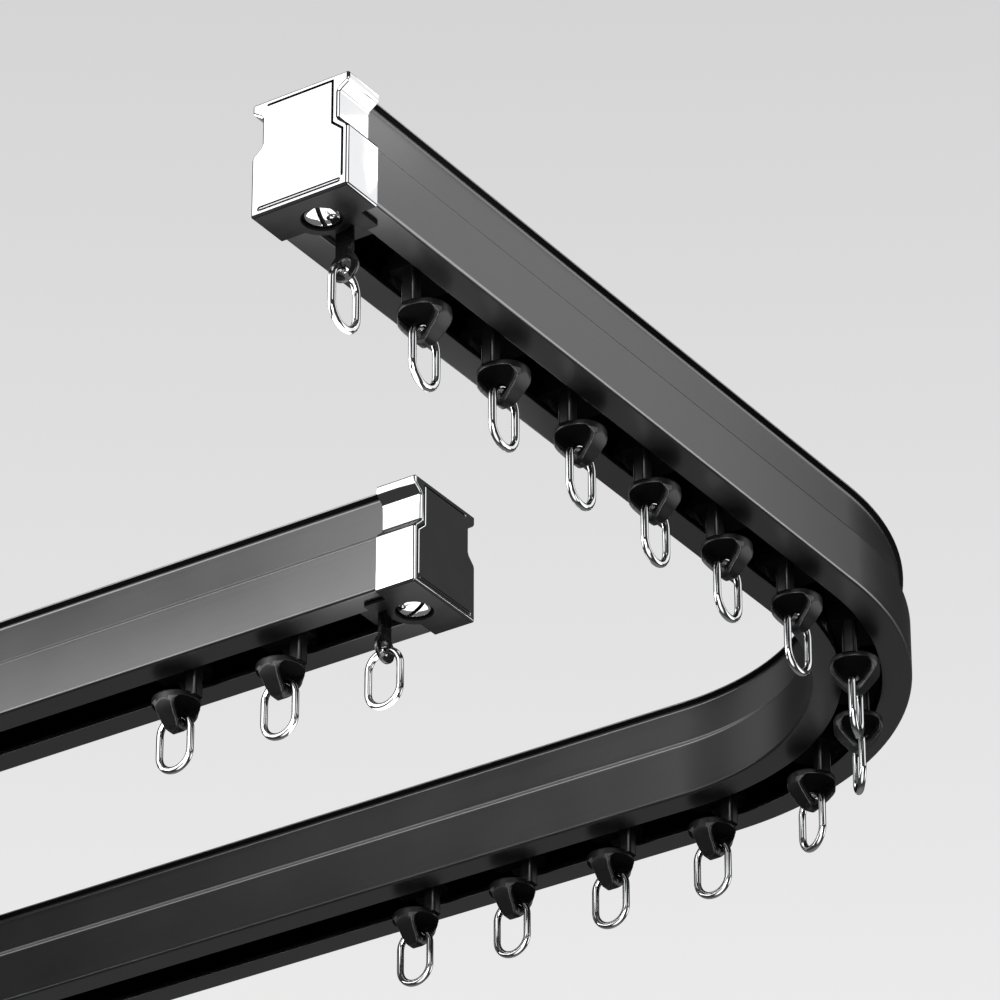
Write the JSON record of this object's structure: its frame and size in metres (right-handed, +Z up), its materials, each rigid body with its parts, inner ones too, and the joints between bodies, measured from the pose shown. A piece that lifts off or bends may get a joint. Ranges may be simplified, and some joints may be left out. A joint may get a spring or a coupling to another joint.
{
  "type": "flexible curtain track",
  "caption": "Hand-bendable ceiling curtain track with a right-angle corner and a return bend, capped ends, wheeled gliders with swinging wire rings and a hanger with a ring at each end.",
  "frame": {"origin": "on the rail's flat top face, on its centre line, at the middle of the long back run", "axes": "+X along the back run to the right-angle corner, +Y to the wall side, +Z up to the ceiling"},
  "size_m": [0.3813, 0.2922, 0.0509],
  "materials": {
    "rail_black": "satin black anodised extrusion",
    "cap_chrome": "bright chrome plating on a die casting",
    "screw_chrome": "bright plated steel",
    "plate_steel": "plain zinc-plated steel",
    "hook_black": "gloss black coated steel strip",
    "ring_chrome": "bright plated steel wire",
    "glider_black": "satin moulded acetal",
    "wheel_nylon": "moulded nylon"
  },
  "bodies": {
    "track": {"rail_front_run": "rail_black", "rail_corner_bend": "rail_black", "rail_back_run": "rail_black", "rail_return_bend": "rail_black", "rail_inner_run": "rail_black", "end_cap_front": "cap_chrome", "end_cap_inner": "cap_chrome", "cap_screw_front": "screw_chrome", "cap_screw_inner": "screw_chrome", "clamp_plate_front": "plate_steel", "clamp_plate_inner": "plate_steel", "end_hook_front": "hook_black", "end_hook_inner": "hook_black"},
    "glider_01": {"glider_01": "glider_black"},
    "wheelset_01": {"wheelset_01": "wheel_nylon"},
    "ring_01": {"ring_01": "ring_chrome"},
    "glider_02": {"glider_02": "glider_black"},
    "wheelset_02": {"wheelset_02": "wheel_nylon"},
    "ring_02": {"ring_02": "ring_chrome"},
    "glider_03": {"glider_03": "glider_black"},
    "wheelset_03": {"wheelset_03": "wheel_nylon"},
    "ring_03": {"ring_03": "ring_chrome"},
    "glider_04": {"glider_04": "glider_black"},
    "wheelset_04": {"wheelset_04": "wheel_nylon"},
    "ring_04": {"ring_04": "ring_chrome"},
    "glider_05": {"glider_05": "glider_black"},
    "wheelset_05": {"wheelset_05": "wheel_nylon"},
    "ring_05": {"ring_05": "ring_chrome"},
    "glider_06": {"glider_06": "glider_black"},
    "wheelset_06": {"wheelset_06": "wheel_nylon"},
    "ring_06": {"ring_06": "ring_chrome"},
    "glider_07": {"glider_07": "glider_black"},
    "wheelset_07": {"wheelset_07": "wheel_nylon"},
    "ring_07": {"ring_07": "ring_chrome"},
    "glider_08": {"glider_08": "glider_black"},
    "wheelset_08": {"wheelset_08": "wheel_nylon"},
    "ring_08": {"ring_08": "ring_chrome"},
    "glider_09": {"glider_09": "glider_black"},
    "wheelset_09": {"wheelset_09": "wheel_nylon"},
    "ring_09": {"ring_09": "ring_chrome"},
    "glider_10": {"glider_10": "glider_black"},
    "wheelset_10": {"wheelset_10": "wheel_nylon"},
    "ring_10": {"ring_10": "ring_chrome"},
    "glider_11": {"glider_11": "glider_black"},
    "wheelset_11": {"wheelset_11": "wheel_nylon"},
    "ring_11": {"ring_11": "ring_chrome"},
    "glider_12": {"glider_12": "glider_black"},
    "wheelset_12": {"wheelset_12": "wheel_nylon"},
    "ring_12": {"ring_12": "ring_chrome"},
    "glider_13": {"glider_13": "glider_black"},
    "wheelset_13": {"wheelset_13": "wheel_nylon"},
    "ring_13": {"ring_13": "ring_chrome"},
    "glider_14": {"glider_14": "glider_black"},
    "wheelset_14": {"wheelset_14": "wheel_nylon"},
    "ring_14": {"ring_14": "ring_chrome"},
    "glider_15": {"glider_15": "glider_black"},
    "wheelset_15": {"wheelset_15": "wheel_nylon"},
    "ring_15": {"ring_15": "ring_chrome"},
    "end_ring_front": {"end_ring_front": "ring_chrome"},
    "end_ring_inner": {"end_ring_inner": "ring_chrome"}
  },
  "joints": [
    {"name": "glide_01", "type": "slide", "parent": "track", "child": "glider_01", "axis": [0, 1, 0], "range_m": [-0.0165, 0.0153]},
    {"name": "roll_01", "type": "hinge", "parent": "glider_01", "child": "wheelset_01", "pos_m": [0.18625, -0.2344, -0.0206], "axis": [-1, 0, 0], "continuous": true},
    {"name": "ring_swing_01", "type": "hinge", "parent": "glider_01", "child": "ring_01", "pos_m": [0.18625, -0.2344, -0.0387], "axis": [-1, 0, 0], "range_deg": [-55, 55]},
    {"name": "glide_02", "type": "slide", "parent": "track", "child": "glider_02", "axis": [0, 1, 0], "range_m": [-0.0153, 0.0153]},
    {"name": "roll_02", "type": "hinge", "parent": "glider_02", "child": "wheelset_02", "pos_m": [0.18625, -0.20449, -0.0206], "axis": [-1, 0, 0], "continuous": true},
    {"name": "ring_swing_02", "type": "hinge", "parent": "glider_02", "child": "ring_02", "pos_m": [0.18625, -0.20449, -0.0387], "axis": [-1, 0, 0], "range_deg": [-55, 55]},
    {"name": "glide_03", "type": "slide", "parent": "track", "child": "glider_03", "axis": [0, 1, 0], "range_m": [-0.0153, 0.0153]},
    {"name": "roll_03", "type": "hinge", "parent": "glider_03", "child": "wheelset_03", "pos_m": [0.18625, -0.17458, -0.0206], "axis": [-1, 0, 0], "continuous": true},
    {"name": "ring_swing_03", "type": "hinge", "parent": "glider_03", "child": "ring_03", "pos_m": [0.18625, -0.17458, -0.0387], "axis": [-1, 0, 0], "range_deg": [-55, 55]},
    {"name": "glide_04", "type": "slide", "parent": "track", "child": "glider_04", "axis": [0, 1, 0], "range_m": [-0.0153, 0.0153]},
    {"name": "roll_04", "type": "hinge", "parent": "glider_04", "child": "wheelset_04", "pos_m": [0.18625, -0.14467, -0.0206], "axis": [-1, 0, 0], "continuous": true},
    {"name": "ring_swing_04", "type": "hinge", "parent": "glider_04", "child": "ring_04", "pos_m": [0.18625, -0.14467, -0.0387], "axis": [-1, 0, 0], "range_deg": [-55, 55]},
    {"name": "glide_05", "type": "slide", "parent": "track", "child": "glider_05", "axis": [0, 1, 0], "range_m": [-0.0153, 0.0153]},
    {"name": "roll_05", "type": "hinge", "parent": "glider_05", "child": "wheelset_05", "pos_m": [0.18625, -0.11476, -0.0206], "axis": [-1, 0, 0], "continuous": true},
    {"name": "ring_swing_05", "type": "hinge", "parent": "glider_05", "child": "ring_05", "pos_m": [0.18625, -0.11476, -0.0387], "axis": [-1, 0, 0], "range_deg": [-55, 55]},
    {"name": "glide_06", "type": "slide", "parent": "track", "child": "glider_06", "axis": [0, 1, 0], "range_m": [-0.0153, 0.00045]},
    {"name": "roll_06", "type": "hinge", "parent": "glider_06", "child": "wheelset_06", "pos_m": [0.18625, -0.08485, -0.0206], "axis": [-1, 0, 0], "continuous": true},
    {"name": "ring_swing_06", "type": "hinge", "parent": "glider_06", "child": "ring_06", "pos_m": [0.18625, -0.08485, -0.0387], "axis": [-1, 0, 0], "range_deg": [-55, 55]},
    {"name": "glide_07", "type": "hinge", "parent": "track", "child": "glider_07", "pos_m": [0.10875, -0.0775, -0.0206], "axis": [0, 0, 1], "range_deg": [-13.5, 10]},
    {"name": "roll_07", "type": "hinge", "parent": "glider_07", "child": "wheelset_07", "pos_m": [0.18207, -0.0524, -0.0206], "axis": [-0.9461, -0.3239, 0], "continuous": true},
    {"name": "ring_swing_07", "type": "hinge", "parent": "glider_07", "child": "ring_07", "pos_m": [0.18207, -0.0524, -0.0387], "axis": [-0.9461, -0.3239, 0], "range_deg": [-55, 55]},
    {"name": "glide_08", "type": "hinge", "parent": "track", "child": "glider_08", "pos_m": [0.10875, -0.0775, -0.0206], "axis": [0, 0, 1], "range_deg": [-10, 12.2]},
    {"name": "roll_08", "type": "hinge", "parent": "glider_08", "child": "wheelset_08", "pos_m": [0.16803, -0.02758, -0.0206], "axis": [-0.7649, -0.6441, 0], "continuous": true},
    {"name": "ring_swing_08", "type": "hinge", "parent": "glider_08", "child": "ring_08", "pos_m": [0.16803, -0.02758, -0.0387], "axis": [-0.7649, -0.6441, 0], "range_deg": [-55, 55]},
    {"name": "glide_09", "type": "hinge", "parent": "track", "child": "glider_09", "pos_m": [0.10875, -0.0775, -0.0206], "axis": [0, 0, 1], "range_deg": [-12.2, 14.2]},
    {"name": "roll_09", "type": "hinge", "parent": "glider_09", "child": "wheelset_09", "pos_m": [0.14333, -0.00814, -0.0206], "axis": [-0.4462, -0.8949, 0], "continuous": true},
    {"name": "ring_swing_09", "type": "hinge", "parent": "glider_09", "child": "ring_09", "pos_m": [0.14333, -0.00814, -0.0387], "axis": [-0.4462, -0.8949, 0], "range_deg": [-55, 55]},
    {"name": "glide_10", "type": "hinge", "parent": "track", "child": "glider_10", "pos_m": [0.10875, -0.0775, -0.0206], "axis": [0, 0, 1], "range_deg": [-14.2, 1.1]},
    {"name": "roll_10", "type": "hinge", "parent": "glider_10", "child": "wheelset_10", "pos_m": [0.11024, -0.00001, -0.0206], "axis": [-0.0192, -0.9998, 0], "continuous": true},
    {"name": "ring_swing_10", "type": "hinge", "parent": "glider_10", "child": "ring_10", "pos_m": [0.11024, -0.00001, -0.0387], "axis": [-0.0192, -0.9998, 0], "range_deg": [-55, 55]},
    {"name": "glide_11", "type": "slide", "parent": "track", "child": "glider_11", "axis": [-1, 0, 0], "range_m": [-0.0147, 0.0143]},
    {"name": "roll_11", "type": "hinge", "parent": "glider_11", "child": "wheelset_11", "pos_m": [0.08095, 0, -0.0206], "axis": [0, -1, 0], "continuous": true},
    {"name": "ring_swing_11", "type": "hinge", "parent": "glider_11", "child": "ring_11", "pos_m": [0.08095, 0, -0.0387], "axis": [0, -1, 0], "range_deg": [-55, 55]},
    {"name": "glide_12", "type": "slide", "parent": "track", "child": "glider_12", "axis": [-1, 0, 0], "range_m": [-0.0143, 0.0143]},
    {"name": "roll_12", "type": "hinge", "parent": "glider_12", "child": "wheelset_12", "pos_m": [0.05205, 0, -0.0206], "axis": [0, -1, 0], "continuous": true},
    {"name": "ring_swing_12", "type": "hinge", "parent": "glider_12", "child": "ring_12", "pos_m": [0.05205, 0, -0.0387], "axis": [0, -1, 0], "range_deg": [-55, 55]},
    {"name": "glide_13", "type": "slide", "parent": "track", "child": "glider_13", "axis": [-1, 0, 0], "range_m": [-0.0143, 0.1246]},
    {"name": "roll_13", "type": "hinge", "parent": "glider_13", "child": "wheelset_13", "pos_m": [0.02315, 0, -0.0206], "axis": [0, -1, 0], "continuous": true},
    {"name": "ring_swing_13", "type": "hinge", "parent": "glider_13", "child": "ring_13", "pos_m": [0.02315, 0, -0.0387], "axis": [0, -1, 0], "range_deg": [-55, 55]},
    {"name": "glide_14", "type": "slide", "parent": "track", "child": "glider_14", "axis": [1, 0, 0], "range_m": [-0.1423, 0.0153]},
    {"name": "roll_14", "type": "hinge", "parent": "glider_14", "child": "wheelset_14", "pos_m": [0.04075, -0.1244, -0.0206], "axis": [0, 1, 0], "continuous": true},
    {"name": "ring_swing_14", "type": "hinge", "parent": "glider_14", "child": "ring_14", "pos_m": [0.04075, -0.1244, -0.0387], "axis": [0, 1, 0], "range_deg": [-55, 55]},
    {"name": "glide_15", "type": "slide", "parent": "track", "child": "glider_15", "axis": [1, 0, 0], "range_m": [-0.0153, 0.0165]},
    {"name": "roll_15", "type": "hinge", "parent": "glider_15", "child": "wheelset_15", "pos_m": [0.07065, -0.1244, -0.0206], "axis": [0, 1, 0], "continuous": true},
    {"name": "ring_swing_15", "type": "hinge", "parent": "glider_15", "child": "ring_15", "pos_m": [0.07065, -0.1244, -0.0387], "axis": [0, 1, 0], "range_deg": [-55, 55]},
    {"name": "end_ring_swing_front", "type": "hinge", "parent": "track", "child": "end_ring_front", "pos_m": [0.18625, -0.26365, -0.0398], "axis": [1, 0, 0], "range_deg": [-55, 55]},
    {"name": "end_ring_swing_inner", "type": "hinge", "parent": "track", "child": "end_ring_inner", "pos_m": [0.0999, -0.1244, -0.0398], "axis": [0, -1, 0], "range_deg": [-55, 55]}
  ],
  "couplings": [
    {"joint": "roll_01", "follows": "glide_01", "rad_per_m": 238.1},
    {"joint": "roll_02", "follows": "glide_02", "rad_per_m": 238.1},
    {"joint": "roll_03", "follows": "glide_03", "rad_per_m": 238.1},
    {"joint": "roll_04", "follows": "glide_04", "rad_per_m": 238.1},
    {"joint": "roll_05", "follows": "glide_05", "rad_per_m": 238.1},
    {"joint": "roll_06", "follows": "glide_06", "rad_per_m": 238.1},
    {"joint": "roll_07", "follows": "glide_07", "ratio": 18.452},
    {"joint": "roll_08", "follows": "glide_08", "ratio": 18.452},
    {"joint": "roll_09", "follows": "glide_09", "ratio": 18.452},
    {"joint": "roll_10", "follows": "glide_10", "ratio": 18.452},
    {"joint": "roll_11", "follows": "glide_11", "rad_per_m": 238.1},
    {"joint": "roll_12", "follows": "glide_12", "rad_per_m": 238.1},
    {"joint": "roll_13", "follows": "glide_13", "rad_per_m": 238.1},
    {"joint": "roll_14", "follows": "glide_14", "rad_per_m": 238.1},
    {"joint": "roll_15", "follows": "glide_15", "rad_per_m": 238.1}
  ]
}
